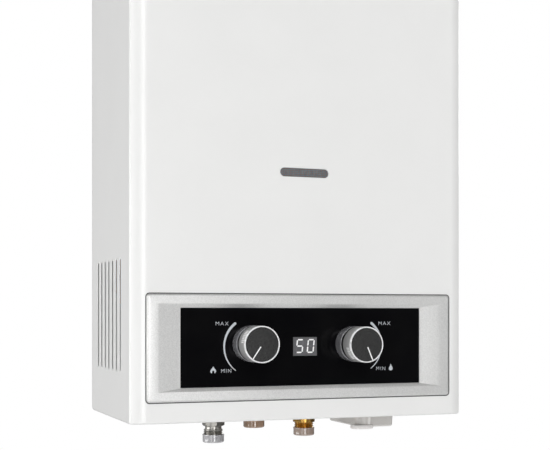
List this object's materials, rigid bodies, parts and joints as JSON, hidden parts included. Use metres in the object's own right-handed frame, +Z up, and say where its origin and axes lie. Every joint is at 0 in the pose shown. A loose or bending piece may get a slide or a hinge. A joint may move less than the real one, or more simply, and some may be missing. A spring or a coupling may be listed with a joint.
{
  "type": "tankless water heater",
  "caption": "Wall-hung gas water heater with a white sheet cover, side louvres, a viewing slot, two turning knobs beside a small display and pipe ends below.",
  "frame": {"origin": "on the wall, midway between the two hanging holes of the hanging rail", "axes": "+Z up, +Y into the wall, -Y out of the front; the wall is the plane Y = 0"},
  "size_m": [0.3444, 0.213, 0.65],
  "materials": {
    "front_cover": "white enamel",
    "viewing_mesh": "dark grey mesh",
    "control_trim": "silver paint",
    "control_panel": "black gloss",
    "display_window": "grey window",
    "display_board": "green board",
    "gas_knob_collar": "satin silver",
    "gas_knob": "satin silver",
    "gas_knob_ring": "bright",
    "gas_knob_face": "fine texture",
    "gas_spindle": "turned",
    "water_knob_collar": "satin silver",
    "water_knob": "satin silver",
    "water_knob_ring": "bright",
    "water_knob_face": "fine texture",
    "water_spindle": "turned",
    "back_plate": "zinc coated sheet",
    "hanging_rail": "zinc coated sheet",
    "hot_outlet_fitting": "turned",
    "gas_inlet_fitting": "turned",
    "cold_inlet_fitting": "turned",
    "hot_thread_cap": "translucent",
    "gas_thread_cap": "translucent",
    "cold_thread_cap": "translucent",
    "gas_valve": "die cast",
    "solenoid_valve": "moulded",
    "water_valve": "cast",
    "water_valve_cover": "cast",
    "drain_plug": "red",
    "push_rod": "turned",
    "microswitch": "moulded",
    "microswitch_plunger": "red",
    "burner": "pressed sheet",
    "gas_manifold": "tube",
    "combustion_chamber": "copper sheet",
    "coil_pipe": "copper pipe",
    "fin_pack": "copper fins",
    "hot_water_pipe": "copper pipe",
    "cold_water_pipe": "copper pipe",
    "flue_hood": "zinc coated sheet",
    "flue_collar": "zinc coated sheet",
    "overheat_thermostat": "moulded",
    "flue_thermostat": "moulded",
    "temperature_sensor": "clip",
    "electrode_bracket": "sheet",
    "ignition_electrode": "white ceramic",
    "flame_sensor": "white ceramic",
    "igniter_box": "white",
    "chamber_support_left": "zinc coated sheet",
    "chamber_support_right": "zinc coated sheet",
    "battery_box": "light grey",
    "battery_lid": "light grey",
    "lid_hinge_pin": "pin",
    "battery_cell_front": "plain can",
    "battery_cell_rear": "plain can",
    "battery_contacts": "plated",
    "cover_screw_left": "plated",
    "cover_screw_right": "plated"
  },
  "bodies": {
    "heater": {"front_cover": "front_cover", "viewing_mesh": "viewing_mesh", "control_trim": "control_trim", "control_panel": "control_panel", "display_window": "display_window", "display_board": "display_board", "gas_knob_collar": "gas_knob_collar", "water_knob_collar": "water_knob_collar", "back_plate": "back_plate", "hanging_rail": "hanging_rail", "hot_outlet_fitting": "hot_outlet_fitting", "gas_inlet_fitting": "gas_inlet_fitting", "cold_inlet_fitting": "cold_inlet_fitting", "gas_valve": "gas_valve", "solenoid_valve": "solenoid_valve", "water_valve": "water_valve", "water_valve_cover": "water_valve_cover", "microswitch": "microswitch", "burner": "burner", "gas_manifold": "gas_manifold", "combustion_chamber": "combustion_chamber", "coil_pipe": "coil_pipe", "fin_pack": "fin_pack", "hot_water_pipe": "hot_water_pipe", "cold_water_pipe": "cold_water_pipe", "flue_hood": "flue_hood", "flue_collar": "flue_collar", "overheat_thermostat": "overheat_thermostat", "flue_thermostat": "flue_thermostat", "temperature_sensor": "temperature_sensor", "electrode_bracket": "electrode_bracket", "ignition_electrode": "ignition_electrode", "flame_sensor": "flame_sensor", "igniter_box": "igniter_box", "chamber_support_left": "chamber_support_left", "chamber_support_right": "chamber_support_right", "battery_box": "battery_box", "lid_hinge_pin": "lid_hinge_pin", "battery_cell_front": "battery_cell_front", "battery_cell_rear": "battery_cell_rear", "battery_contacts": "battery_contacts", "cover_screw_left": "cover_screw_left", "cover_screw_right": "cover_screw_right"},
    "gas_knob_unit": {"gas_knob": "gas_knob", "gas_knob_ring": "gas_knob_ring", "gas_knob_face": "gas_knob_face", "gas_spindle": "gas_spindle"},
    "water_knob_unit": {"water_knob": "water_knob", "water_knob_ring": "water_knob_ring", "water_knob_face": "water_knob_face", "water_spindle": "water_spindle"},
    "lid": {"battery_lid": "battery_lid"},
    "hot_cap": {"hot_thread_cap": "hot_thread_cap"},
    "gas_cap": {"gas_thread_cap": "gas_thread_cap"},
    "cold_cap": {"cold_thread_cap": "cold_thread_cap"},
    "plug": {"drain_plug": "drain_plug"},
    "rod": {"push_rod": "push_rod"},
    "switch_plunger": {"microswitch_plunger": "microswitch_plunger"}
  },
  "joints": [
    {"name": "gas_knob_turn", "type": "hinge", "parent": "heater", "child": "gas_knob_unit", "pos_m": [-0.0556, -0.178, -0.457], "axis": [0, 1, 0], "range_deg": [-5.5, 108]},
    {"name": "water_knob_turn", "type": "hinge", "parent": "heater", "child": "water_knob_unit", "pos_m": [0.0491, -0.178, -0.4581], "axis": [0, 1, 0], "range_deg": [-109, 0]},
    {"name": "battery_lid_open", "type": "hinge", "parent": "heater", "child": "lid", "pos_m": [0.1145, -0.0092, -0.546], "axis": [1, 0, 0], "range_deg": [0, 95]},
    {"name": "hot_cap_pull", "type": "slide", "parent": "heater", "child": "hot_cap", "axis": [0, 0, -1], "range_m": [0, 0.02]},
    {"name": "gas_cap_pull", "type": "slide", "parent": "heater", "child": "gas_cap", "axis": [0, 0, -1], "range_m": [0, 0.02]},
    {"name": "cold_cap_pull", "type": "slide", "parent": "heater", "child": "cold_cap", "axis": [0, 0, -1], "range_m": [0, 0.02]},
    {"name": "drain_plug_turn", "type": "hinge", "parent": "heater", "child": "plug", "pos_m": [0.054, -0.088, -0.49], "axis": [0, 0, 1], "range_deg": [0, 180]},
    {"name": "push_rod_slide", "type": "slide", "parent": "heater", "child": "rod", "axis": [-1, 0, 0], "range_m": [0, 0.003], "stiffness_N_per_m": 200, "springref_m": -0.002},
    {"name": "microswitch_press", "type": "slide", "parent": "heater", "child": "switch_plunger", "axis": [-1, 0, 0], "range_m": [0, 0.003]}
  ],
  "couplings": [
    {"joint": "microswitch_press", "follows": "push_rod_slide", "ratio": 1}
  ]
}
